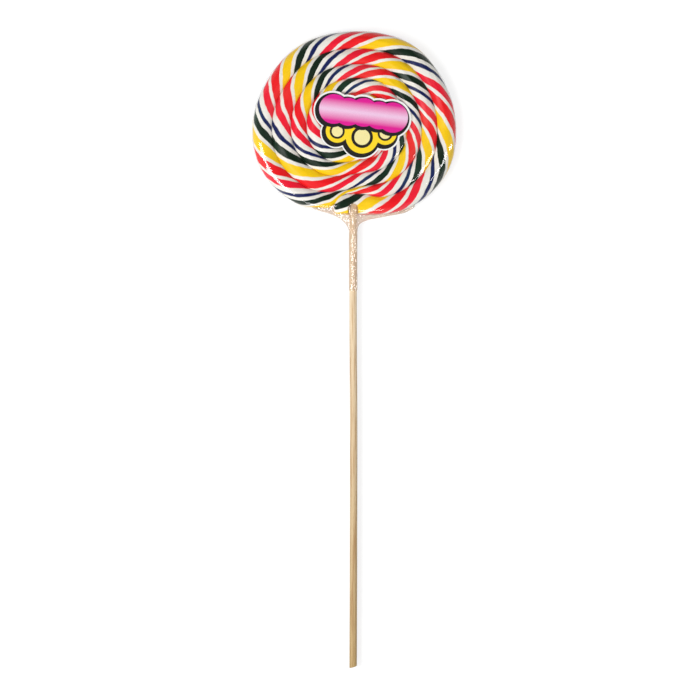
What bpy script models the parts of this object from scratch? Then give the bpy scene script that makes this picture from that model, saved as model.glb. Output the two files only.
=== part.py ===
"""A swirl lollipop lying on its back: a wound, twisted candy rope, its stick, its film neck and its label.

The frame: the origin is the middle of the swirl on its flat back, +Z is up through the head to the shown
face, and the stick runs along -Y. Lengths are in metres.

A place along the rope is counted in turns, inwards from the bottom of the head, where the stick goes in:
0 is the bottom, 0.25 the +X side, 0.5 the top and 0.75 the -X side of the outer turn, and so on.
"""

import math

import bmesh
import bpy
from mathutils import Matrix, Vector

MM = 0.001

# The wound head.
HEAD_RADIUS = 66.3 * MM  # half the width of the swirl
PRESSED = 0.90  # its height over its width: the warm head was pressed along the stick
HEAD_THICKNESS = 11.0 * MM
# How far the outline stands out of an even oval, every 30 degrees from the bottom by way of +X.
OUTLINE = (0.99, 1.05, 1.04, 0.985, 0.985, 1.025, 1.005, 1.01, 0.98, 1.0, 1.04, 1.03)

# The seam between neighbouring turns.
FIRST_SEAM = 54.2 * MM  # radius of the seam inside the outer turn
# How far each turn's seam runs inwards: evenly round the turn, and in the step past the tucked end.
DRIFTS = (0.6 * MM, 4.4 * MM, 5.6 * MM, 8.2 * MM, 9.4 * MM, 9.4 * MM)
STEPS = (8.8 * MM, 4.9 * MM, 3.6 * MM, 1.5 * MM, 0.0 * MM, 0.0 * MM)
STEP_START = 0.90
STEP_END = 1.04

# The ends of the rope.
TIP_TURN = -0.031  # the outer end, tucked against the turn inside it
TIP_LENGTH = 0.016  # turns over which it rounds off
TIP_BLUNTNESS = 0.5  # size of its flat end over the rope
TIP_SQUEEZE = 3.0 * MM  # how far the stick pushes the seam in beside the tip
SQUEEZE_START = 0.015
SQUEEZE_END = 0.055
DRAW_IN = 3.4 * MM  # how far the rim draws in before it meets the tip
DRAW_START = 0.905
TUCK_START = 0.953  # where the outer turn begins to pass under the tip
TUCK_END = 0.986
HEART_TURN = 5.74  # the inner end, worn into a knob in the middle of the swirl
HEART_RADIUS = 8.8 * MM
HEART_X = -0.8 * MM
HEART_SEGMENTS = 24

# The rope's section: an oval that sinks into its neighbours, flattened where it lay on the table.
SINK = 1.10  # half width of the oval over half the distance between its seams
FLAT_DEPTH = 0.8 * MM
SECTION_POINTS = 16
STEP_LENGTH = 6.0 * MM  # along the rope
LONGEST_STEP = 0.05  # in turns, where the rope curls up in the middle
TIP_STEPS = 4

# The stick, a plain dowel.
STICK_X = -1.2 * MM
STICK_RADIUS = 2.4 * MM
STICK_SEGMENTS = 24
STICK_END = -353.0 * MM
STICK_TOP = -33.0 * MM  # its hidden end, inside the head
STICK_HEIGHT = HEAD_THICKNESS / 2  # its axis, half way through the head
STICK_CHAMFER = 0.5 * MM
LENGTHWISE = Matrix.Rotation(math.pi / 2, 4, "X")  # turns a rod from upright to along Y
CLEARANCE = 0.3 * MM
NOTCH_TOP = -51.3 * MM  # the candy is open over the stick below this

# The film that gathers under the head and sleeves the stick.
FILM_WALL = 0.35 * MM
FILM_GAP = 0.3 * MM
SLEEVE_END = -108.0 * MM
# How far down each place of the gathered film is, and how far it reaches to either side there.
NECK_WIDTHS = (
    (-52.0 * MM, -29.0 * MM, 36.0 * MM),
    (-55.5 * MM, -24.5 * MM, 34.0 * MM),
    (-58.0 * MM, -16.0 * MM, 29.0 * MM),
    (-60.5 * MM, -10.4 * MM, 16.0 * MM),
    (-62.5 * MM, -7.8 * MM, 7.0 * MM),
    (-65.0 * MM, -5.6 * MM, 2.4 * MM),
    (-68.5 * MM, -4.3 * MM, 1.9 * MM),
)
NECK_POINTS = 24
RIM_POINTS = 72  # of the head's outline, which the gathered film follows

# The label, a sticker on the film over the middle of the swirl.
LABEL_THICKNESS = 0.3 * MM
LABEL_TILT = math.radians(-7.0)
BAND_CENTRE = (5.2 * MM, 6.6 * MM)
BAND_LENGTH = 59.0 * MM
BAND_WIDTH = 21.5 * MM
LABEL_SEGMENTS = 40  # round each disc and round the band's two ends
# Centre and radius of each of the three discs under the band.
DISCS = (
    (-11.5 * MM, -5.2 * MM, 9.0 * MM),
    (4.6 * MM, -9.0 * MM, 12.6 * MM),
    (19.5 * MM, -6.6 * MM, 9.0 * MM),
)


def clear_scene():
    for obj in list(bpy.data.objects):
        bpy.data.objects.remove(obj)


def new_collection(name):
    collection = bpy.data.collections.new(name)
    bpy.context.scene.collection.children.link(collection)
    return collection


def material(name, colour, roughness):
    made = bpy.data.materials.new(name)
    made.use_nodes = True
    shader = made.node_tree.nodes["Principled BSDF"]
    shader.inputs["Base Color"].default_value = (*colour, 1.0)
    shader.inputs["Roughness"].default_value = roughness
    shader.inputs["Metallic"].default_value = 0.0
    return made


def add_object(name, mesh, collection):
    obj = bpy.data.objects.new(name, mesh)
    collection.objects.link(obj)
    return obj


def mesh_from(bm, name):
    bmesh.ops.recalc_face_normals(bm, faces=bm.faces)
    mesh = bpy.data.meshes.new(name)
    bm.to_mesh(mesh)
    bm.free()
    return mesh


def smoothstep(start, end, value):
    t = min(max((value - start) / (end - start), 0.0), 1.0)
    return t * t * (3.0 - 2.0 * t)


def outline_factor(turn):
    """The outline's share of an even oval, eased from one value of OUTLINE to the next."""
    place = (turn % 1.0) * len(OUTLINE)
    i = int(place) % len(OUTLINE)
    before, here, after, beyond = (OUTLINE[(i + k) % len(OUTLINE)] for k in (-1, 0, 1, 2))
    t = place - int(place)
    slope_here, slope_after = (after - before) / 2, (beyond - here) / 2
    return (
        (2 * t**3 - 3 * t**2 + 1) * here
        + (t**3 - 2 * t**2 + t) * slope_here
        + (3 * t**2 - 2 * t**3) * after
        + (t**3 - t**2) * slope_after
    )


def seam_radius(turn):
    """Distance from the middle to the seam on the inner side of the rope at this turn."""
    radius = FIRST_SEAM
    for i, (drift, step) in enumerate(zip(DRIFTS, STEPS)):
        radius -= drift * min(max(turn - i, 0.0), 1.0)
        radius -= step * smoothstep(STEP_START + i, STEP_END + i, turn)
    radius -= TIP_SQUEEZE * (1.0 - smoothstep(SQUEEZE_START, SQUEEZE_END, turn))
    return radius * outline_factor(turn)


def free_radius(turn):
    """Distance from the middle to the rim of the head."""
    return HEAD_RADIUS * outline_factor(turn)


def edges_at(turn):
    """Inner and outer edge of the rope, as distances from the middle."""
    tucked = smoothstep(TUCK_START, TUCK_END, turn)
    outer = free_radius(turn) - DRAW_IN * smoothstep(DRAW_START, TUCK_START, turn)
    if tucked > 0.0:
        outer += tucked * (seam_radius(turn - 1.0) - outer)
    return seam_radius(turn), outer


def end_share(turn):
    """How full the rope's section is: 1 along the rope, falling quickly as the tip rounds off."""
    from_tip = min((turn - TIP_TURN) / TIP_LENGTH, 1.0)
    return max(math.sqrt(1.0 - (1.0 - from_tip) ** 2), TIP_BLUNTNESS)


def at(turn, radius, height):
    """A point of the head from its turn, its distance from the middle and its height."""
    angle = 2 * math.pi * turn
    return Vector((radius * math.sin(angle), -PRESSED * radius * math.cos(angle), height))


def rope_section(turn):
    inner, outer = edges_at(turn)
    share = end_share(turn)
    middle, half = (inner + outer) / 2, (outer - inner) / 2
    inside = half * SINK * share
    outside = half * share * (SINK if turn > TUCK_START else 1.0)
    half_height = (HEAD_THICKNESS + FLAT_DEPTH) / 2
    points = []
    for k in range(SECTION_POINTS):
        angle = 2 * math.pi * k / SECTION_POINTS
        reach = outside if math.cos(angle) > 0 else inside
        height = half_height * share * math.sin(angle) + half_height - FLAT_DEPTH
        points.append(at(turn, middle + reach * math.cos(angle), height))
    return points


def rope_turns():
    """The places of the rope's sections, an even step apart along it and closer at its ends."""
    turns = []
    turn = TIP_TURN
    while turn < HEART_TURN:
        turns.append(turn)
        inner, outer = edges_at(turn)
        step = STEP_LENGTH / (math.pi * (inner + outer))
        if turn < TIP_TURN + TIP_LENGTH:
            step = TIP_LENGTH / TIP_STEPS
        turn += min(step, LONGEST_STEP)
    return [*turns, HEART_TURN]


def loft(sections, name):
    """A closed mesh through a row of sections that have the same number of points."""
    bm = bmesh.new()
    rings = [[bm.verts.new(p) for p in section] for section in sections]
    for ring, following in zip(rings, rings[1:]):
        for k in range(len(ring)):
            n = (k + 1) % len(ring)
            bm.faces.new((ring[k], ring[n], following[n], following[k]))
    bm.faces.new(rings[0])
    bm.faces.new(rings[-1])
    return mesh_from(bm, name)


def cut(obj, cutter):
    modifier = obj.modifiers.new(f"cut by {cutter.name}", "BOOLEAN")
    modifier.operation = "DIFFERENCE"
    modifier.solver = "EXACT"
    modifier.use_self = True
    modifier.object = cutter
    cutter.hide_render = True
    cutter.display_type = "WIRE"


def join(obj, added):
    modifier = obj.modifiers.new(f"join {added.name}", "BOOLEAN")
    modifier.operation = "UNION"
    modifier.solver = "EXACT"
    modifier.use_self = True
    modifier.object = added
    added.hide_render = True
    added.display_type = "WIRE"


def rod(name, radius, length, turned=Matrix(), segments=STICK_SEGMENTS):
    """A cylinder about its own middle, lengthwise along Z before it is turned."""
    bm = bmesh.new()
    bmesh.ops.create_cone(
        bm,
        cap_ends=True,
        segments=segments,
        radius1=radius,
        radius2=radius,
        depth=length,
        matrix=turned,
    )
    return mesh_from(bm, name)


def make_candy(parts, cutters):
    candy = add_object("candy", loft([rope_section(t) for t in rope_turns()], "candy"), parts)
    candy.data.materials.append(material("candy", (0.80, 0.03, 0.03), 0.2))
    join(candy, make_heart(cutters))
    cut(candy, make_table_cutter(cutters))
    cut(candy, make_stick_cutter(cutters, "stick_bore", STICK_TOP + CLEARANCE))
    cut(candy, make_notch_cutter(cutters))
    return candy


def make_heart(cutters):
    """The rope's inner end, curled and pressed into a round knob as thick as the rope."""
    bm = bmesh.new()
    bmesh.ops.create_uvsphere(
        bm,
        u_segments=HEART_SEGMENTS,
        v_segments=HEART_SEGMENTS // 2,
        radius=HEART_RADIUS,
    )
    half_height = (HEAD_THICKNESS + FLAT_DEPTH) / 2
    bmesh.ops.scale(bm, verts=bm.verts, vec=(1, PRESSED, half_height / HEART_RADIUS))
    heart = add_object("heart", mesh_from(bm, "heart"), cutters)
    heart.location = (HEART_X, 0, half_height - FLAT_DEPTH)
    return heart


def make_table_cutter(cutters):
    """Everything below the flat back, where the warm head lay on the table."""
    bm = bmesh.new()
    bmesh.ops.create_cube(bm, size=3 * HEAD_RADIUS)
    table = add_object("table", mesh_from(bm, "table"), cutters)
    table.location = (0, 0, -3 * HEAD_RADIUS / 2)
    return table


def make_stick_cutter(cutters, name, top):
    """The stick's bore, open downwards from its top."""
    length = top + 2 * HEAD_RADIUS
    bore = add_object(name, rod(name, STICK_RADIUS + CLEARANCE, length, LENGTHWISE), cutters)
    bore.location = (STICK_X, top - length / 2, STICK_HEIGHT)
    return bore


def make_notch_cutter(cutters):
    """The arch in the candy that leaves the stick's front bare, a slot with a round top."""
    radius = STICK_RADIUS + CLEARANCE
    bm = bmesh.new()
    for y in (NOTCH_TOP - radius, -HEAD_RADIUS):
        bmesh.ops.create_cone(
            bm,
            cap_ends=True,
            segments=STICK_SEGMENTS,
            radius1=radius,
            radius2=radius,
            depth=HEAD_THICKNESS,
            matrix=Matrix.Translation((STICK_X, y, STICK_HEIGHT + HEAD_THICKNESS / 2)),
        )
    return add_object("notch", hull_of(bm, "notch"), cutters)


def hull_of(bm, name):
    """The mesh of the smallest convex solid round everything in bm."""
    hull = bmesh.ops.convex_hull(bm, input=bm.verts)
    inside = {item for key in ("geom_interior", "geom_unused") for item in hull[key]}
    bmesh.ops.delete(bm, geom=[item for item in inside if isinstance(item, bmesh.types.BMVert)], context="VERTS")
    bmesh.ops.dissolve_limit(bm, angle_limit=math.radians(1.0), verts=bm.verts, edges=bm.edges)
    return mesh_from(bm, name)


def make_stick(parts):
    length = STICK_TOP - STICK_END
    stick = add_object("stick", rod("stick", STICK_RADIUS, length, LENGTHWISE), parts)
    stick.location = (STICK_X, STICK_TOP - length / 2, STICK_HEIGHT)
    stick.data.materials.append(material("birch", (0.72, 0.55, 0.33), 0.6))
    rounded = stick.modifiers.new("sanded ends", "BEVEL")
    rounded.width = STICK_CHAMFER
    rounded.segments = 2
    rounded.limit_method = "ANGLE"
    return stick


def neck_section(y, left, right):
    """A flat oval across the gathered film, thickest at the stick and drawn out to an edge on either side."""
    half_height = STICK_RADIUS + FILM_GAP + FILM_WALL
    points = []
    for k in range(NECK_POINTS):
        angle = 2 * math.pi * k / NECK_POINTS
        reach = right - STICK_X if math.cos(angle) > 0 else STICK_X - left
        points.append(
            Vector((STICK_X + reach * math.cos(angle), y, STICK_HEIGHT + half_height * math.sin(angle)))
        )
    return points


def make_film_neck(parts, cutters):
    """The film below the head: gathered under the rim, then a sleeve round the stick."""
    wall = STICK_RADIUS + FILM_GAP + FILM_WALL
    sections = [neck_section(*place) for place in NECK_WIDTHS]
    sections.append(neck_section(SLEEVE_END, STICK_X - wall, STICK_X + wall))
    neck = add_object("film_neck", loft(sections, "film_neck"), parts)
    neck.data.materials.append(material("film", (0.80, 0.74, 0.66), 0.1))
    cut(neck, make_head_cutter(cutters))
    cut(neck, make_stick_cutter(cutters, "sleeve_bore", STICK_TOP))
    return neck


def make_head_cutter(cutters):
    """The head's outline and a gap round it, as a plate thicker than the head."""
    bm = bmesh.new()
    turns = [k / RIM_POINTS for k in range(RIM_POINTS)]
    rim = [bm.verts.new(at(turn, free_radius(turn) + CLEARANCE, -HEAD_THICKNESS)) for turn in turns]
    plate = bmesh.ops.extrude_face_region(bm, geom=[bm.faces.new(rim)])
    raised = [item for item in plate["geom"] if isinstance(item, bmesh.types.BMVert)]
    bmesh.ops.translate(bm, verts=raised, vec=(0, 0, 3 * HEAD_THICKNESS))
    return add_object("head_outline", mesh_from(bm, "head_outline"), cutters)


def make_label(parts, cutters):
    """A thin sticker: a tilted band with round ends, and three discs under it."""
    height = HEAD_THICKNESS + CLEARANCE + LABEL_THICKNESS / 2
    bm = bmesh.new()
    for side in (-1, 1):
        bmesh.ops.create_cone(
            bm,
            cap_ends=True,
            segments=LABEL_SEGMENTS,
            radius1=BAND_WIDTH / 2,
            radius2=BAND_WIDTH / 2,
            depth=LABEL_THICKNESS,
            matrix=Matrix.Translation((side * (BAND_LENGTH - BAND_WIDTH) / 2, 0, 0)),
        )
    label = add_object("label", hull_of(bm, "label"), parts)
    label.location = (*BAND_CENTRE, height)
    label.rotation_euler.z = LABEL_TILT
    label.data.materials.append(material("sticker", (0.85, 0.10, 0.50), 0.4))
    for i, (x, y, radius) in enumerate(DISCS, 1):
        disc = add_object(f"disc_{i}", rod(f"disc_{i}", radius, LABEL_THICKNESS, segments=LABEL_SEGMENTS), cutters)
        disc.location = (x, y, height)
        join(label, disc)
    return label


clear_scene()
PARTS = new_collection("swirl lollipop")
CUTTERS = new_collection("cutters")
make_candy(PARTS, CUTTERS)
make_stick(PARTS)
make_film_neck(PARTS, CUTTERS)
make_label(PARTS, CUTTERS)
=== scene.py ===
"""A swirl lollipop lying on its back on a pale floor, seen from straight above.

A twisted rope of boiled sugar is wound into a flat head on a birch stick. Clear film is shrunk over the
head and round the top of the stick, and a sticker with plain shapes sits on the film.

Lengths are in metres. The shown face is +Z and the stick runs along -Y. A place along the rope is counted
in turns, inwards from the bottom of the head: 0 is the bottom, 0.25 the +X side, 0.5 the top.
"""

import math

import bmesh
import bpy
from mathutils import Matrix, Vector, noise


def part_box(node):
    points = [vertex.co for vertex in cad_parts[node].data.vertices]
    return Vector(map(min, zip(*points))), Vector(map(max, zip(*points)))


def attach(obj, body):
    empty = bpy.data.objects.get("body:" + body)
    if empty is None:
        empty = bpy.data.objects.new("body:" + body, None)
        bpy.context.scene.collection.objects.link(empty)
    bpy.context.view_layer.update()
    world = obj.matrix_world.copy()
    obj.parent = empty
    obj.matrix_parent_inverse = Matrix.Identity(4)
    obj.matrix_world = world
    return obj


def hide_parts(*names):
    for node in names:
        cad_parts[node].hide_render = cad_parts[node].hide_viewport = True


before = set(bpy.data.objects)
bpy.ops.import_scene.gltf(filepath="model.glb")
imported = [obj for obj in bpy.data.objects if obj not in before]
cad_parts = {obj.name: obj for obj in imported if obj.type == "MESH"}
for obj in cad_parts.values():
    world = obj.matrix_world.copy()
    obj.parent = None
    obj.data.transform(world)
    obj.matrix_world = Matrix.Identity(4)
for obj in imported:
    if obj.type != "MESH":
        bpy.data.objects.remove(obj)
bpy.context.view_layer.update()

MM = 0.001


# ---------------------------------------------------------------------------------------------------------
# The candy rope: white boiled sugar with a green, a yellow, two red and a navy strand laid along it, pulled
# out to a rope, twisted while warm and wound inwards on a table. Each turn is pressed against the one
# outside it, so neighbours meet in a crease, and the back is flat where it lay.

_, candy_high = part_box("candy")
head_radius = 66.3 * MM
pressed = 0.90  # the head's height over its width
thickness = candy_high.z
outline = (0.99, 1.05, 1.04, 0.985, 0.985, 1.025, 1.005, 1.01, 0.98, 1.0, 1.04, 1.03)

first_seam = 54.2 * MM
drifts = (0.6 * MM, 4.4 * MM, 5.6 * MM, 8.2 * MM, 9.4 * MM, 9.4 * MM)
steps = (8.8 * MM, 4.9 * MM, 3.6 * MM, 1.5 * MM, 0.0 * MM, 0.0 * MM)
step_start, step_end = 0.90, 1.04

tip_turn = -0.036
tip_length = 0.014
tip_twist = 4.8  # twists a turn at the tip, where the rope was turned under
tip_bluntness = 3.5  # 2 would round it off evenly
tip_squeeze, squeeze_start, squeeze_end = 3.0 * MM, 0.015, 0.055
draw_in, draw_start = 3.4 * MM, 0.905
tuck_start, tuck_end = 0.953, 0.986
heart_turn = 6.45
heart_length = 0.35
axis_room = 0.15 * MM  # between the innermost turn and the middle

sink = 1.18  # half width of the rope's oval over half the distance between its seams
contact_gap = 0.02 * MM
flat_depth = 0.8 * MM
film_room = 0.05 * MM  # what the film takes up under the head

full_half = 4.2 * MM  # half width from which the rope has its full height
lump_height = 0.30 * MM
small_lump_height = 0.12 * MM
ridge_height = 0.05 * MM

rope_rings = 1400
rope_points = 64

stick_x = -1.2 * MM
stick_radius = 2.4 * MM
stick_height = 5.5 * MM
arch_top = -52.0 * MM
arch_room = 0.40 * MM  # round the stick
arch_lip = 0.7 * MM  # over which the arch's edge rises to the candy's top

# The twist. Turns nearer the middle are shorter, so fewer twists go round each of them.
twists_at_rim = 5.6  # twists a turn where the outer turn starts
twists_fewer = 0.79  # how many fewer on each turn inwards
twist_lag = 0.33  # twists that the outer turn falls behind by its far side, and makes up again
first_yellow = 0.020  # the turn at which the yellow strand first crosses the top

# The strands in the order in which they cross the top, and how many degrees of the rope each takes.
strands = (
    ("green", 44),
    ("white", 23),
    ("yellow", 59),
    ("white", 22),
    ("red", 56),
    ("white", 22),
    ("cherry", 46),
    ("white", 37),
    ("navy", 25),
    ("white", 26),
)


def smoothstep(start, end, value):
    t = min(max((value - start) / (end - start), 0.0), 1.0)
    return t * t * (3.0 - 2.0 * t)


def ease(before, here, after, beyond, t):
    """A smooth curve from here to after, with the slopes that its neighbours give it."""
    slope_here, slope_after = (after - before) / 2, (beyond - here) / 2
    return (
        (2 * t**3 - 3 * t**2 + 1) * here
        + (t**3 - 2 * t**2 + t) * slope_here
        + (3 * t**2 - 2 * t**3) * after
        + (t**3 - t**2) * slope_after
    )


def outline_factor(turn):
    """The outline's share of an even oval."""
    place = (turn % 1.0) * len(outline)
    i = int(place) % len(outline)
    values = [outline[(i + k) % len(outline)] for k in (-1, 0, 1, 2)]
    return ease(*values, place - int(place))


def seam_radius(turn):
    """Distance from the middle to the crease on the inner side of the rope at this turn."""
    radius = first_seam
    for i, (drift, step) in enumerate(zip(drifts, steps)):
        radius -= drift * min(max(turn - i, 0.0), 1.0)
        radius -= step * smoothstep(step_start + i, step_end + i, turn)
    radius -= tip_squeeze * (1.0 - smoothstep(squeeze_start, squeeze_end, turn))
    return max(radius * outline_factor(turn), axis_room)


def edges_at(turn):
    """Inner and outer edge of the rope, as distances from the middle."""
    tucked = smoothstep(tuck_start, tuck_end, turn)
    outer = head_radius * outline_factor(turn) - draw_in * smoothstep(draw_start, tuck_start, turn)
    if tucked > 0.0:
        outer += tucked * (seam_radius(turn - 1.0) - outer)
    return seam_radius(turn), outer


def fullness(turn):
    """How full the rope's section is: 1 along it, and nothing at its blunt tip and its inner end."""
    from_tip = min((turn - tip_turn) / tip_length, 1.0)
    from_heart = min((heart_turn - turn) / heart_length, 1.0)
    blunt = (1.0 - (1.0 - from_tip) ** tip_bluntness) ** (1 / tip_bluntness)
    return min(blunt, math.sqrt(max(1.0 - (1.0 - from_heart) ** 2, 0.0)))


def at(turn, radius, height):
    """A point of the head from its turn, its distance from the middle and its height."""
    angle = 2 * math.pi * turn
    return Vector((radius * math.sin(angle), -pressed * radius * math.cos(angle), height))


def rope_places():
    """The rope's rings, an even distance apart along it and closer where it rounds off or meets the stick."""
    turn = tip_turn
    places = [turn]
    lengths = [0.0]
    while turn < heart_turn:
        inner, outer = edges_at(turn)
        step = 0.0005 + 0.0015 * smoothstep(0.0, 2.0, turn)
        turn = min(turn + step, heart_turn)
        near_stick = 1.0 - smoothstep(0.03, 0.06, abs(turn))
        places.append(turn)
        lengths.append(lengths[-1] + step * math.pi * (inner + outer) * (1.0 + 2.0 * near_stick))
    rings = []
    k = 0
    for i in range(rope_rings + 1):
        wanted = lengths[-1] * i / rope_rings
        while k < len(lengths) - 2 and lengths[k + 1] < wanted:
            k += 1
        share = (wanted - lengths[k]) / (lengths[k + 1] - lengths[k])
        rings.append(places[k] + share * (places[k + 1] - places[k]))
    return rings


def twist_at(turn):
    """How often the rope has twisted by this turn. Whole numbers are the start of the green strand."""
    widths = [width for _, width in strands]
    yellow = (sum(widths[:2]) + widths[2] / 2) / 360
    start = yellow + 0.25 - first_yellow * twists_at_rim
    if turn < 0.0:
        return start + turn * tip_twist
    lag = twist_lag * (1.0 - math.cos(2 * math.pi * min(turn, 1.0))) / 2
    return start + turn * twists_at_rim - twists_fewer * turn**2 / 2 - lag


def rope_point(turn, around):
    """A point of the rope's skin; around runs from 0 on the outer side over the top and back."""
    inner, outer = edges_at(turn)
    share = fullness(turn)
    angle = 2 * math.pi * around
    middle, half = (inner + outer) / 2, (outer - inner) / 2
    tucked = smoothstep(tuck_start, tuck_end, turn)
    half_height = (thickness + flat_depth) / 2
    narrow = min(half / full_half, 1.0) ** 0.45
    lumps = lump_height * noise.noise(Vector((9.0 * turn, 3.0 * math.cos(angle), 5.0)) * 1.7)
    lumps += small_lump_height * noise.noise(Vector((34.0 * turn, 2.0 * math.cos(angle), 9.0)))
    strand = twist_at(turn) - around
    ridges = ridge_height * math.cos(2 * math.pi * 5 * strand)
    reach_out = half * (1.0 + (sink - 1.0) * tucked)
    reach_in = half * sink
    across = (reach_out if math.cos(angle) > 0 else reach_in) * math.cos(angle) * share
    limit = half - contact_gap
    across = max(across, -limit)
    if tucked > 0.0:
        across = min(across, limit)
    else:
        across += (lumps + ridges) * max(math.cos(angle), 0.0) * share
    height = half_height * narrow * share * math.sin(angle) + half_height - flat_depth
    height += (lumps - lump_height / 2 + ridges) * max(math.sin(angle), 0.0) * share
    return at(turn, middle + across, height)


def open_arch(point):
    """The candy's front is pressed open over the stick below the arch, down to behind the stick."""
    radius = stick_radius + arch_room
    beside = point.x - stick_x
    above = point.y - (arch_top - radius)
    distance = math.hypot(beside, max(above, 0.0))
    if distance > 2 * radius:
        return point
    behind = stick_height - math.sqrt(max(radius**2 - min(distance, radius) ** 2, 0.0))
    closed = smoothstep(radius, radius + arch_lip, distance)
    lowered = min(point.z, behind)
    return Vector((point.x, point.y, lowered + closed * (point.z - lowered)))


def make_rope():
    """A flat sheet rolled up into the wound rope. Its map holds the twists, then the way round."""
    rings = rope_places()
    bm = bmesh.new()
    rope_map = bm.loops.layers.uv.new("rope")
    bmesh.ops.create_grid(bm, x_segments=rope_rings, y_segments=rope_points, size=0.5, calc_uvs=True)
    for vert in bm.verts:
        turn = rings[round((vert.co.x + 0.5) * rope_rings)]
        around = round((vert.co.y + 0.5) * rope_points) / rope_points
        point = open_arch(rope_point(turn, around % 1.0))
        vert.co = Vector((point.x, point.y, max(point.z, film_room)))
    phases = [twist_at(turn) for turn in rings]
    for face in bm.faces:
        for loop in face.loops:
            u, v = loop[rope_map].uv
            loop[rope_map].uv = (phases[round(u * rope_rings)], v)
    bmesh.ops.remove_doubles(bm, verts=bm.verts, dist=0.001 * MM)
    bmesh.ops.recalc_face_normals(bm, faces=bm.faces)
    mesh = bpy.data.meshes.new("candy_rope")
    bm.to_mesh(mesh)
    bm.free()
    mesh.shade_smooth()
    rope = bpy.data.objects.new("candy_rope", mesh)
    bpy.context.scene.collection.objects.link(rope)
    return rope


def linear(red, green, blue):
    """A colour as it looks on screen, 0 to 255, turned to the light that the shaders work in."""
    values = (red / 255, green / 255, blue / 255)
    return (*(v / 12.92 if v <= 0.04045 else ((v + 0.055) / 1.055) ** 2.4 for v in values), 1.0)


def new_material(name):
    made = bpy.data.materials.new(name)
    made.use_nodes = True
    return made, made.node_tree.nodes["Principled BSDF"]


def add_node(material, kind, **settings):
    made = material.node_tree.nodes.new(kind)
    for name, value in settings.items():
        setattr(made, name, value)
    return made


def connect(material, source, target):
    material.node_tree.links.new(source, target)


def maths(material, operation, *values):
    """A Math node on sockets or numbers, and its result."""
    made = add_node(material, "ShaderNodeMath", operation=operation)
    for socket, value in zip(made.inputs, values):
        if isinstance(value, bpy.types.NodeSocket):
            connect(material, value, socket)
        else:
            socket.default_value = value
    return made.outputs[0]


def object_noise(material, scale, detail=2.0, stretch=(1, 1, 1)):
    """Noise fixed to the piece, scale in features a metre."""
    coordinates = add_node(material, "ShaderNodeTexCoord")
    mapping = add_node(material, "ShaderNodeMapping")
    mapping.inputs["Scale"].default_value = stretch
    connect(material, coordinates.outputs["Object"], mapping.inputs["Vector"])
    made = add_node(material, "ShaderNodeTexNoise")
    made.inputs["Scale"].default_value = scale
    made.inputs["Detail"].default_value = detail
    connect(material, mapping.outputs["Vector"], made.inputs["Vector"])
    return made.outputs["Fac"]


def ramp(material, value, stops, interpolation="LINEAR"):
    """A colour ramp over (place, colour) stops, and its colour."""
    made = add_node(material, "ShaderNodeValToRGB")
    made.color_ramp.interpolation = interpolation
    elements = made.color_ramp.elements
    while len(elements) > 1:
        elements.remove(elements[-1])
    elements[0].position, elements[0].color = stops[0]
    for place, colour in stops[1:]:
        elements.new(place).color = colour
    connect(material, value, made.inputs["Fac"])
    return made.outputs["Color"]


def mix(material, share, first, second, blend="MIX"):
    """Two colours mixed, each a socket or a colour, and share a socket or a number."""
    made = add_node(material, "ShaderNodeMix", data_type="RGBA", blend_type=blend)
    for socket, value in ((made.inputs[0], share), (made.inputs[6], first), (made.inputs[7], second)):
        if isinstance(value, bpy.types.NodeSocket):
            connect(material, value, socket)
        else:
            socket.default_value = value
    return made.outputs[2]


def bump(material, shader, height, distance, strength=1.0):
    made = add_node(material, "ShaderNodeBump")
    made.inputs["Strength"].default_value = strength
    made.inputs["Distance"].default_value = distance
    connect(material, height, made.inputs["Height"])
    connect(material, made.outputs["Normal"], shader.inputs["Normal"])


def candy_material():
    """Glossy boiled sugar, its strands a ramp over the twist."""
    colours = {
        "green": linear(6, 34, 17),
        "yellow": linear(253, 207, 8),
        "red": linear(240, 20, 30),
        "cherry": linear(241, 22, 52),
        "navy": linear(12, 26, 86),
        "white": linear(241, 237, 229),
    }
    softness = 0.005
    stops = []
    place = 0.0
    for colour, width in strands:
        stops.append((place + softness, colours[colour]))
        place += width / 360
        stops.append((place - softness, colours[colour]))
    material, shader = new_material("boiled_sugar")
    rope_map = add_node(material, "ShaderNodeUVMap", uv_map="rope")
    parts = add_node(material, "ShaderNodeSeparateXYZ")
    connect(material, rope_map.outputs["UV"], parts.inputs["Vector"])
    waver = maths(material, "SUBTRACT", object_noise(material, 110.0), 0.5)
    waver = maths(material, "MULTIPLY", waver, 0.05)
    phase = maths(material, "SUBTRACT", parts.outputs["X"], parts.outputs["Y"])
    phase = maths(material, "FRACT", maths(material, "ADD", phase, waver))
    colour = ramp(material, phase, stops)
    cloud_stops = ((0.3, (0.93, 0.93, 0.93, 1)), (0.7, (1.0, 1.0, 1.0, 1)))
    cloud = ramp(material, object_noise(material, 60.0, 4.0), cloud_stops)
    colour = mix(material, 1.0, colour, cloud, "MULTIPLY")
    # painted light: in random patches the strands are painted paler and greener, as if light shone through
    # the sugar there
    painted_light_stops = ((0.55, (0, 0, 0, 1)), (0.75, (1, 1, 1, 1)))
    thin = ramp(material, object_noise(material, 38.0, 2.0), painted_light_stops)
    painted_light_colour = mix(material, 1.0, colour, (0.010, 0.035, 0.022, 1.0), "ADD")
    colour = mix(material, thin, colour, painted_light_colour)
    connect(material, colour, shader.inputs["Base Color"])
    gloss_stops = ((0.3, (0.28, 0.28, 0.28, 1)), (0.75, (0.45, 0.45, 0.45, 1)))
    gloss = ramp(material, object_noise(material, 90.0, 3.0), gloss_stops)
    connect(material, gloss, shader.inputs["Roughness"])
    shader.inputs["IOR"].default_value = 1.5
    shader.inputs["Specular IOR Level"].default_value = 0.18
    bump(material, shader, object_noise(material, 260.0, 3.0), 0.15 * MM, 0.35)
    return material


rope = make_rope()
rope.data.materials.append(candy_material())
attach(rope, "root")
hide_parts("candy")


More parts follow.
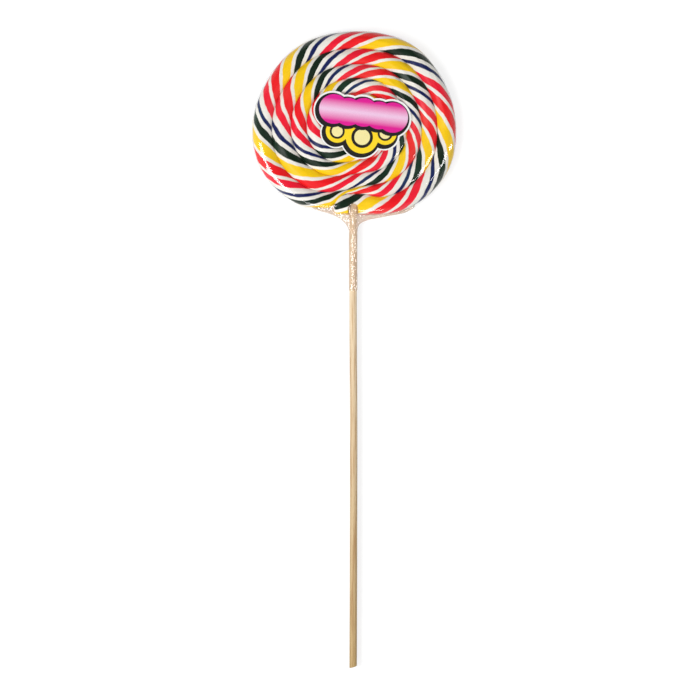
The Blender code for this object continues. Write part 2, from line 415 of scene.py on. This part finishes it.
# ---------------------------------------------------------------------------------------------------------
# The stick: a 4.8 mm birch dowel, sawn a little slanted at its free end and sanded. Its other end is
# buried in the candy.

stick_low, stick_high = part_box("stick")
stick_slant = 0.30  # how far the sawn end leans, over its width
stick_bow = 0.35 * MM


def make_stick():
    length = stick_high.y - stick_low.y
    bm = bmesh.new()
    bmesh.ops.create_cone(
        bm,
        cap_ends=True,
        segments=48,
        radius1=stick_radius,
        radius2=stick_radius,
        depth=length,
        matrix=Matrix.Translation((stick_x, stick_low.y + length / 2, stick_height))
        @ Matrix.Rotation(math.pi / 2, 4, "X"),
    )
    ends = [edge for edge in bm.edges if abs(edge.verts[0].co.y - edge.verts[1].co.y) < length / 2]
    bmesh.ops.bevel(
        bm,
        geom=ends,
        offset=0.55 * MM,
        offset_type="OFFSET",
        segments=4,
        profile=0.5,
        affect="EDGES",
        material=-1,
    )
    long_edges = [edge for edge in bm.edges if abs(edge.verts[0].co.y - edge.verts[1].co.y) > length / 2]
    bmesh.ops.subdivide_edges(bm, edges=long_edges, cuts=80, use_grid_fill=True)
    for vert in bm.verts:
        down = (stick_high.y - vert.co.y) / length
        side = vert.co.x - stick_x
        slant = smoothstep(0.985, 1.0, down)
        vert.co.x += stick_bow * math.sin(math.pi * down) * smoothstep(0.3, 0.5, down)
        vert.co.y += (side + stick_radius) * stick_slant * slant
        rough = noise.noise(Vector((side * 900, vert.co.y * 25, vert.co.z * 900)))
        outwards = Vector((side, 0, vert.co.z - stick_height)).normalized()
        vert.co += outwards * rough * 0.05 * MM
    bmesh.ops.recalc_face_normals(bm, faces=bm.faces)
    mesh = bpy.data.meshes.new("birch_stick")
    bm.to_mesh(mesh)
    bm.free()
    mesh.shade_smooth()
    mesh.set_sharp_from_angle(angle=math.radians(40))
    stick = bpy.data.objects.new("birch_stick", mesh)
    bpy.context.scene.collection.objects.link(stick)
    return stick


def birch_material():
    """Pale sanded birch with fine lengthwise grain. It is painted lighter towards the head, as painted light
    under the film sleeve and in the arch, and darker and warmer towards the free end.
    """
    material, shader = new_material("birch")
    coordinates = add_node(material, "ShaderNodeTexCoord")
    parts = add_node(material, "ShaderNodeSeparateXYZ")
    connect(material, coordinates.outputs["Object"], parts.inputs["Vector"])
    down = add_node(material, "ShaderNodeMapRange")
    down.inputs["From Min"].default_value = -0.080
    down.inputs["From Max"].default_value = stick_low.y
    connect(material, parts.outputs["Y"], down.inputs["Value"])
    # painted light: the ramp is lightest at the end by the head, under the film sleeve and in the arch
    tone = ramp(
        material,
        down.outputs["Result"],
        ((0.0, linear(242, 224, 194)), (0.45, linear(212, 188, 152)), (1.0, linear(186, 159, 108))),
    )
    grain = object_noise(material, 1.0, 3.0, stretch=(1700, 28, 1700))
    streaks = ramp(
        material,
        grain,
        ((0.36, linear(196, 160, 112)), (0.5, linear(244, 240, 232)), (0.72, linear(255, 255, 255))),
    )
    tone = mix(material, 0.75, tone, streaks, "MULTIPLY")
    pores = object_noise(material, 1.0, 2.0, stretch=(3800, 140, 3800))
    flecks = ramp(material, pores, ((0.28, linear(176, 140, 96)), (0.40, linear(255, 255, 255))))
    tone = mix(material, 0.35, tone, flecks, "MULTIPLY")
    connect(material, tone, shader.inputs["Base Color"])
    shader.inputs["Roughness"].default_value = 0.62
    bump(material, shader, grain, 0.12 * MM, 0.5)
    return material


stick = make_stick()
stick.data.materials.append(birch_material())
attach(stick, "root")
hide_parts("stick")


# ---------------------------------------------------------------------------------------------------------
# The film on the head: one sheet of thin clear plastic, shrunk tight with hot air. It bridges the creases
# between the turns, and it stands off a little in folds at the rim.

film_rise = 0.20 * MM
film_dip = 0.16  # how much of a crease's depth it follows
film_rays = 240
film_places = 150


def crown_height(point):
    """Height of the rope's top at this place of the head."""
    turn = math.atan2(point.x, -point.y / pressed) / (2 * math.pi) % 1.0
    radius = math.hypot(point.x, point.y / pressed)
    half_height = (thickness + flat_depth) / 2
    for k in range(-1, 6):
        place = turn + k
        if not tip_turn <= place <= heart_turn - heart_length:
            continue
        inner, outer = edges_at(place)
        if inner <= radius <= outer:
            across = (2 * radius - inner - outer) / (outer - inner)
            reach = sink if across < 0 or k > 0 else 1.0
            return thickness - half_height * (1 - math.sqrt(max(1 - (across / reach) ** 2, 0.0)))
    return thickness - half_height * 0.5


def film_profile(turn, share):
    """A point of the film from the middle of the front (0) round the rim to the middle of the back (1)."""
    rim = head_radius * outline_factor(turn) - draw_in * smoothstep(draw_start, 1.0, turn % 1.0) * (
        1.0 - smoothstep(0.985, 1.0, turn % 1.0)
    )
    side = 6.8 * MM  # half the width of the outer turn, round which the film bends
    half_height = thickness / 2 + film_rise
    flat = rim - side
    length = flat * 2 + math.pi * side
    run = share * length
    if run < flat:
        point = at(turn, run, 0.0)
        dip = (thickness - crown_height(point)) * film_dip
        return at(turn, run, thickness + film_rise - dip)
    if run > length - flat:
        return at(turn, length - run, film_room / 2)
    bend = (run - flat) / side
    fold_angle = 2 * math.pi * turn
    fold = noise.noise(Vector((26 * math.cos(fold_angle), 26 * math.sin(fold_angle), 4 * share)))
    fold = max(fold, 0.0) * 0.9 * MM * math.sin(bend) ** 2
    reach = (side + 0.40 * MM + fold) * math.sin(bend)
    return at(turn, flat + reach, thickness / 2 + half_height * math.cos(bend))


def make_film_shell():
    bm = bmesh.new()
    bmesh.ops.create_grid(bm, x_segments=film_rays, y_segments=film_places, size=0.5)
    for vert in bm.verts:
        turn = round((vert.co.x + 0.5) * film_rays) / film_rays
        share = round((vert.co.y + 0.5) * film_places) / film_places
        point = film_profile(turn % 1.0, share)
        vert.co = Vector((point.x, point.y, max(point.z, film_room / 2)))
    bmesh.ops.remove_doubles(bm, verts=bm.verts, dist=0.001 * MM)
    bmesh.ops.smooth_vert(
        bm,
        verts=[v for v in bm.verts if v.co.z > thickness / 2],
        factor=0.5,
        use_axis_x=True,
        use_axis_y=True,
        use_axis_z=True,
    )
    bmesh.ops.recalc_face_normals(bm, faces=bm.faces)
    mesh = bpy.data.meshes.new("film_shell")
    bm.to_mesh(mesh)
    bm.free()
    mesh.shade_smooth()
    shell = bpy.data.objects.new("film_shell", mesh)
    bpy.context.scene.collection.objects.link(shell)
    return shell


def film_material(name, tint, haze, haze_colour, ripple_scale=75.0, ripple_stretch=(1, 1, 1)):
    """Clear film: what is behind it shows through, with a mirror gloss and a little haze."""
    material, shader = new_material(name)
    nodes = material.node_tree.nodes
    nodes.remove(shader)
    clear = add_node(material, "ShaderNodeBsdfTransparent")
    clear.inputs["Color"].default_value = tint
    gloss = add_node(material, "ShaderNodeBsdfGlossy")
    gloss.inputs["Roughness"].default_value = 0.07
    milk = add_node(material, "ShaderNodeBsdfDiffuse")
    milk.inputs["Color"].default_value = haze_colour
    through = add_node(material, "ShaderNodeMixShader")
    through.inputs["Fac"].default_value = haze
    connect(material, clear.outputs["BSDF"], through.inputs[1])
    connect(material, milk.outputs["BSDF"], through.inputs[2])
    facing = add_node(material, "ShaderNodeLayerWeight")
    facing.inputs["Blend"].default_value = 0.5
    mirror = maths(material, "POWER", facing.outputs["Facing"], 5.0)
    mirror = maths(material, "MULTIPLY_ADD", mirror, 0.7, 0.07)
    skin = add_node(material, "ShaderNodeMixShader")
    connect(material, mirror, skin.inputs["Fac"])
    connect(material, through.outputs["Shader"], skin.inputs[1])
    connect(material, gloss.outputs["BSDF"], skin.inputs[2])
    connect(material, skin.outputs["Shader"], nodes["Material Output"].inputs["Surface"])
    ripple = add_node(material, "ShaderNodeBump")
    ripple.inputs["Strength"].default_value = 0.6
    ripple.inputs["Distance"].default_value = 1.0 * MM
    connect(material, object_noise(material, ripple_scale, 0.6, ripple_stretch), ripple.inputs["Height"])
    connect(material, ripple.outputs["Normal"], gloss.inputs["Normal"])
    return material


shell = make_film_shell()
shell.data.materials.append(film_material("clear_film", (1.0, 1.0, 1.0, 1.0), 0.003, linear(240, 236, 230)))
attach(shell, "root")


# ---------------------------------------------------------------------------------------------------------
# The film below the head: the same sheet, gathered from both sides of the head to the stick and shrunk
# round it as a sleeve. The gathers run down into the sleeve, whose end is torn ragged.

neck_low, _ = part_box("film_neck")
# How far down each place of the gathered film is, and how far it reaches to either side there.
neck_widths = (
    (-48.0 * MM, -30.0 * MM, 38.0 * MM),
    (-52.0 * MM, -28.5 * MM, 37.0 * MM),
    (-55.5 * MM, -25.0 * MM, 34.5 * MM),
    (-58.0 * MM, -16.5 * MM, 30.0 * MM),
    (-60.5 * MM, -10.8 * MM, 17.0 * MM),
    (-62.5 * MM, -8.0 * MM, 7.6 * MM),
    (-65.0 * MM, -5.7 * MM, 2.9 * MM),
    (-68.5 * MM, -4.0 * MM, 1.6 * MM),
    (-74.0 * MM, -3.95 * MM, 1.55 * MM),
)
sleeve_radius = stick_radius + 0.30 * MM
sleeve_facets = 13  # flat strips between its lengthwise creases
neck_rows = 150
neck_columns = 96


def neck_reach(y):
    """How far the gathered film reaches to either side of the middle at this height."""
    if y <= neck_widths[-1][0]:
        return neck_widths[-1][1:]
    i = max(k for k in range(len(neck_widths) - 1) if neck_widths[k][0] >= y)
    t = (neck_widths[i][0] - y) / (neck_widths[i][0] - neck_widths[i + 1][0])
    rows = [neck_widths[min(max(i + k, 0), len(neck_widths) - 1)] for k in (-1, 0, 1, 2)]
    return tuple(ease(*(row[side] for row in rows), t) for side in (1, 2))


def make_film_neck():
    bm = bmesh.new()
    bmesh.ops.create_grid(bm, x_segments=neck_columns, y_segments=neck_rows, size=0.5)
    top = neck_widths[0][0]
    for vert in bm.verts:
        angle = 2 * math.pi * round((vert.co.x + 0.5) * neck_columns) / neck_columns
        share = round((vert.co.y + 0.5) * neck_rows) / neck_rows
        y = top + (neck_low.y - top) * (1.0 - (1.0 - share) ** 0.8 if share < 1.0 else 1.0)
        torn = smoothstep(0.96, 1.0, share)
        y += torn * 1.6 * MM * noise.noise(Vector((2.2 * math.cos(angle), 2.2 * math.sin(angle), 3.0)))
        left, right = neck_reach(y)
        reach = right - stick_x if math.cos(angle) > 0 else stick_x - left
        spread = smoothstep(-68.0 * MM, -56.0 * MM, y)
        half_height = sleeve_radius + 0.3 * MM * spread
        sharp = abs(math.sin(angle)) ** (1.0 + 0.7 * spread) * math.copysign(1.0, math.sin(angle))
        gather = math.sin(9 * angle + 60 * y) + 0.6 * math.sin(17 * angle - 90 * y + 1.0)
        gather *= 0.16 * MM * smoothstep(-80.0 * MM, -64.0 * MM, y)
        facet = 2 * math.pi / sleeve_facets
        off = (angle - math.radians(105)) % facet
        off = min(off, facet - off)
        flattened = math.cos(facet / 2) / math.cos(off) - math.cos(facet / 2)
        gather += sleeve_radius * (flattened - 0.5 * (1 - math.cos(facet / 2))) * (1 - spread)
        crinkle = 0.10 * MM * noise.noise(Vector((3 * math.cos(angle), 3 * math.sin(angle), y * 350)))
        swell = 1.0 + (gather + crinkle) / sleeve_radius
        vert.co = Vector(
            (stick_x + reach * math.cos(angle) * swell, y, stick_height + half_height * sharp * swell)
        )
    bmesh.ops.remove_doubles(bm, verts=bm.verts, dist=0.001 * MM)
    bmesh.ops.recalc_face_normals(bm, faces=bm.faces)
    mesh = bpy.data.meshes.new("film_sleeve")
    bm.to_mesh(mesh)
    bm.free()
    mesh.shade_smooth()
    neck = bpy.data.objects.new("film_sleeve", mesh)
    bpy.context.scene.collection.objects.link(neck)
    return neck


neck = make_film_neck()
neck.data.materials.append(
    film_material(
        "gathered_film",
        (0.93, 0.865, 0.81, 1.0),
        0.24,
        linear(240, 220, 198),
        1.0,
        (700, 70, 700),
    )
)
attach(neck, "root")
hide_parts("film_neck")


# ---------------------------------------------------------------------------------------------------------
# The sticker: a printed label on the film with no words on it, only a pink band over three yellow discs,
# each with a black shadow, cut out with a white edge.

label_low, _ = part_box("label")
label_tilt = math.radians(-7.0)
band_centre = Vector((5.2 * MM, 6.6 * MM, 0.0))
band_length = 56.0 * MM
band_width = 18.0 * MM
discs = (
    (-11.5 * MM, -5.2 * MM, 7.4 * MM),
    (4.6 * MM, -9.0 * MM, 10.6 * MM),
    (19.5 * MM, -6.6 * MM, 7.4 * MM),
)

# Where the pink band bulges: along it, off its middle line, and the bulge's radius.
lobes = (
    (-19.0 * MM, 0.3 * MM, 9.6 * MM),
    (-9.5 * MM, -0.4 * MM, 9.0 * MM),
    (0.5 * MM, 0.5 * MM, 9.3 * MM),
    (10.5 * MM, -0.3 * MM, 9.0 * MM),
    (19.5 * MM, -0.6 * MM, 9.8 * MM),
)


def sticker_shape(name, outset, bottom, top, shift, band=True, disc_share=1.0):
    """A thin plate: the lobed band and the discs, grown by outset and moved by shift."""
    pieces = []
    shapes = [(x, y, radius * disc_share + outset, 0.0) for x, y, radius in discs] if disc_share else []
    if band:
        band_radius = band_width / 2 - 1.6 * MM + outset
        shapes.append((band_centre.x, band_centre.y, band_radius, (band_length - band_width) / 2))
        for along, off, radius in lobes:
            lobe = band_centre + Matrix.Rotation(label_tilt, 3, "Z") @ Vector((along, off, 0.0))
            shapes.append((lobe.x, lobe.y, radius + outset, 0.0))
    for x, y, radius, stretch in shapes:
        bm = bmesh.new()
        bmesh.ops.create_circle(bm, cap_ends=True, segments=72, radius=radius)
        for vert in bm.verts:
            vert.co.x += math.copysign(stretch, vert.co.x)
        if stretch:
            bmesh.ops.rotate(bm, verts=bm.verts, matrix=Matrix.Rotation(label_tilt, 3, "Z"))
        bmesh.ops.translate(bm, verts=bm.verts, vec=(x + shift[0], y + shift[1], bottom))
        raised = bmesh.ops.extrude_face_region(bm, geom=list(bm.faces))["geom"]
        upper = [item for item in raised if isinstance(item, bmesh.types.BMVert)]
        bmesh.ops.translate(bm, verts=upper, vec=(0, 0, top - bottom))
        bmesh.ops.recalc_face_normals(bm, faces=bm.faces)
        mesh = bpy.data.meshes.new(name)
        bm.to_mesh(mesh)
        bm.free()
        piece = bpy.data.objects.new(name, mesh)
        bpy.context.scene.collection.objects.link(piece)
        pieces.append(piece)
    whole = pieces[0]
    for other in pieces[1:]:
        union = whole.modifiers.new("union", "BOOLEAN")
        union.operation = "UNION"
        union.solver = "EXACT"
        union.object = other
    depsgraph = bpy.context.evaluated_depsgraph_get()
    joined = bpy.data.meshes.new_from_object(whole.evaluated_get(depsgraph))
    for other in pieces[1:]:
        bpy.data.objects.remove(other)
    whole.modifiers.clear()
    whole.data = joined
    return whole


def ink_material(name, colour, edge_colour=None):
    """Printed ink under a clear laminate; a band fades from its pale middle to its edges."""
    material, shader = new_material(name)
    shade = add_node(material, "ShaderNodeRGB")
    shade.outputs[0].default_value = colour
    tone = shade.outputs[0]
    if edge_colour:
        coordinates = add_node(material, "ShaderNodeTexCoord")
        turned = add_node(material, "ShaderNodeMapping", vector_type="TEXTURE")
        turned.inputs["Location"].default_value = band_centre
        turned.inputs["Rotation"].default_value = (0, 0, label_tilt)
        connect(material, coordinates.outputs["Object"], turned.inputs["Vector"])
        parts = add_node(material, "ShaderNodeSeparateXYZ")
        connect(material, turned.outputs["Vector"], parts.inputs["Vector"])
        height = maths(material, "ABSOLUTE", parts.outputs["Y"])
        height = maths(material, "DIVIDE", height, band_width / 2)
        tone = ramp(material, height, ((0.05, colour), (0.80, edge_colour)))
    speckle = object_noise(material, 1800.0, 1.0)
    print_dots = ramp(material, speckle, ((0.4, (0.95, 0.95, 0.95, 1)), (0.6, (1, 1, 1, 1))))
    tone = mix(material, 1.0, tone, print_dots, "MULTIPLY")
    connect(material, tone, shader.inputs["Base Color"])
    shader.inputs["Roughness"].default_value = 0.35
    shader.inputs["Coat Weight"].default_value = 0.4
    shader.inputs["Coat Roughness"].default_value = 0.15
    return material


sticker_foot = label_low.z
white_ink = ink_material("white_ink", linear(240, 240, 238))
black_ink = ink_material("black_ink", linear(14, 12, 14))
pink_ink = ink_material("pink_ink", linear(238, 196, 226), linear(222, 16, 146))
yellow_ink = ink_material("yellow_ink", linear(250, 214, 30))
cream_ink = ink_material("cream_ink", linear(240, 228, 160))
layers = (
    ("label_white", 2.9 * MM, 0.00 * MM, 0.06 * MM, (-0.7 * MM, -0.7 * MM), True, 1.0, white_ink),
    ("label_black", 1.8 * MM, 0.03 * MM, 0.10 * MM, (-0.9 * MM, -0.9 * MM), True, 1.0, black_ink),
    ("label_yellow", 0.0 * MM, 0.08 * MM, 0.14 * MM, (0.0, 0.0), False, 1.0, yellow_ink),
    ("label_ring", 0.0 * MM, 0.11 * MM, 0.16 * MM, (0.0, 0.0), False, 0.66, black_ink),
    ("label_cream", 0.0 * MM, 0.13 * MM, 0.18 * MM, (0.0, 0.0), False, 0.48, cream_ink),
    ("label_shadow", 1.2 * MM, 0.15 * MM, 0.20 * MM, (-0.8 * MM, -1.0 * MM), True, 0.0, black_ink),
    ("label_pink", 0.0 * MM, 0.16 * MM, 0.22 * MM, (0.0, 0.0), True, 0.0, pink_ink),
)
for name, outset, bottom, top, shift, band, disc_share, ink in layers:
    layer = sticker_shape(name, outset, sticker_foot + bottom, sticker_foot + top, shift, band, disc_share)
    layer.data.materials.append(ink)
    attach(layer, "root")
    if name == "label_white":
        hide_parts("label")


# ---------------------------------------------------------------------------------------------------------
# The floor: a wide flat white floor that the lollipop lies on. It looks white to the camera and in
# reflections, and it keeps the lollipop's soft shadow.

floor_mesh = bmesh.new()
bmesh.ops.create_grid(floor_mesh, x_segments=1, y_segments=1, size=3.0)
floor_data = bpy.data.meshes.new("floor")
floor_mesh.to_mesh(floor_data)
floor_mesh.free()
floor = bpy.data.objects.new("floor", floor_data)
bpy.context.scene.collection.objects.link(floor)

floor_material, floor_shader = new_material("white_floor")
floor_shader.inputs["Base Color"].default_value = (0.30, 0.30, 0.30, 1.0)
floor_shader.inputs["Roughness"].default_value = 1.0
floor_shader.inputs["Specular IOR Level"].default_value = 0.0
light_path = add_node(floor_material, "ShaderNodeLightPath")
seen = maths(
    floor_material,
    "MAXIMUM",
    light_path.outputs["Is Camera Ray"],
    light_path.outputs["Is Glossy Ray"],
)
seen = maths(floor_material, "MAXIMUM", seen, light_path.outputs["Is Transmission Ray"])
floor_shader.inputs["Emission Color"].default_value = (1.0, 1.0, 1.0, 1.0)
floor_glow = 0.76
glow_seen = maths(floor_material, "MULTIPLY", seen, floor_glow)
connect(floor_material, glow_seen, floor_shader.inputs["Emission Strength"])
floor.data.materials.append(floor_material)


# ---------------------------------------------------------------------------------------------------------
# The studio light: an even white surround, a large soft box on the left and a narrow one on the right.

world = bpy.data.worlds.new("studio")
bpy.context.scene.world = world
world.use_nodes = True
background = world.node_tree.nodes["Background"]
background.inputs["Strength"].default_value = 1.0
sky = add_node(world, "ShaderNodeTexCoord")
sky_parts = add_node(world, "ShaderNodeSeparateXYZ")
connect(world, sky.outputs["Generated"], sky_parts.inputs["Vector"])
walls = ramp(
    world,
    sky_parts.outputs["Z"],
    (
        (0.0, (0.85, 0.85, 0.85, 1)),
        (0.45, (0.5, 0.5, 0.5, 1)),
        (0.8, (0.08, 0.08, 0.08, 1)),
        (1.0, (0.03, 0.03, 0.03, 1)),
    ),
)
camera_rays = add_node(world, "ShaderNodeLightPath")
walls = mix(world, camera_rays.outputs["Is Camera Ray"], walls, (1.0, 1.0, 1.0, 1.0))
connect(world, walls, background.inputs["Color"])


def add_lamp(name, place, aim, size, power):
    data = bpy.data.lights.new(name, "AREA")
    data.shape = "RECTANGLE"
    data.size, data.size_y = size
    data.energy = power
    lamp = bpy.data.objects.new(name, data)
    lamp.location = place
    lamp.rotation_euler = (Vector(aim) - Vector(place)).to_track_quat("-Z", "Y").to_euler()
    bpy.context.scene.collection.objects.link(lamp)


add_lamp("left_box", (-0.52, -0.36, 0.78), (0.0, -0.02, 0.0), (0.30, 0.36), 4.7)
add_lamp("left_strip", (-0.47, -0.09, 0.78), (-0.02, -0.04, 0.0), (0.18, 0.34), 2.4)
add_lamp("right_strip", (0.36, -0.09, 0.82), (0.0, -0.04, 0.0), (0.08, 0.30), 0.8)
add_lamp("right_box", (0.95, -0.05, 0.60), (0.0, -0.02, 0.0), (0.06, 0.50), 1.6)
add_lamp("foot_box", (-0.20, -1.30, 0.90), (0.0, -0.20, 0.0), (0.80, 0.25), 4.6)


# ---------------------------------------------------------------------------------------------------------
# The camera looks straight down, with the head high in the frame and the stick running down it.

view_width = 454.1 * MM
lens = 135.0
sensor = 36.0
camera_data = bpy.data.cameras.new("camera")
camera_data.lens = lens
camera_data.sensor_width = sensor
camera = bpy.data.objects.new("camera", camera_data)
camera.location = (-3.24 * MM, -146.6 * MM, view_width * lens / sensor + stick_height)
bpy.context.scene.collection.objects.link(camera)
bpy.context.scene.camera = camera

bpy.context.scene.view_settings.view_transform = "Standard"
